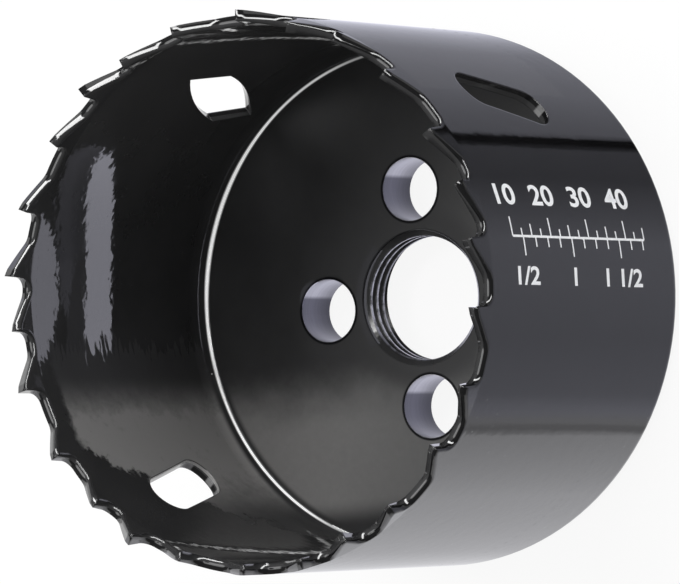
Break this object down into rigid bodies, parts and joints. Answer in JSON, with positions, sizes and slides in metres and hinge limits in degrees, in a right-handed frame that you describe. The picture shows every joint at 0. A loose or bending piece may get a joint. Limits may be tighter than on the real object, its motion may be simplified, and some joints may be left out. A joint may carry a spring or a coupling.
{
  "type": "hole saw",
  "caption": "Black painted bi-metal hole saw: a round steel cup with variable-pitch teeth on the rim, slots in the wall and a thick back plate with a threaded bore and pin holes.",
  "frame": {"origin": "centre of the flat back face", "axes": "+Z along the cutting axis, from the back face to the teeth; +X through the middle of one long slot; angles from +X towards +Y, which is the way the saw turns"},
  "size_m": [0.075, 0.0757, 0.054],
  "materials": {
    "black_paint_plate": "gloss",
    "black_paint_wall": "gloss",
    "black_paint_teeth": "gloss"
  },
  "bodies": {
    "root": {"back_plate": "black_paint_plate", "side_wall": "black_paint_wall", "tooth_edge": "black_paint_teeth"}
  },
  "joints": []
}
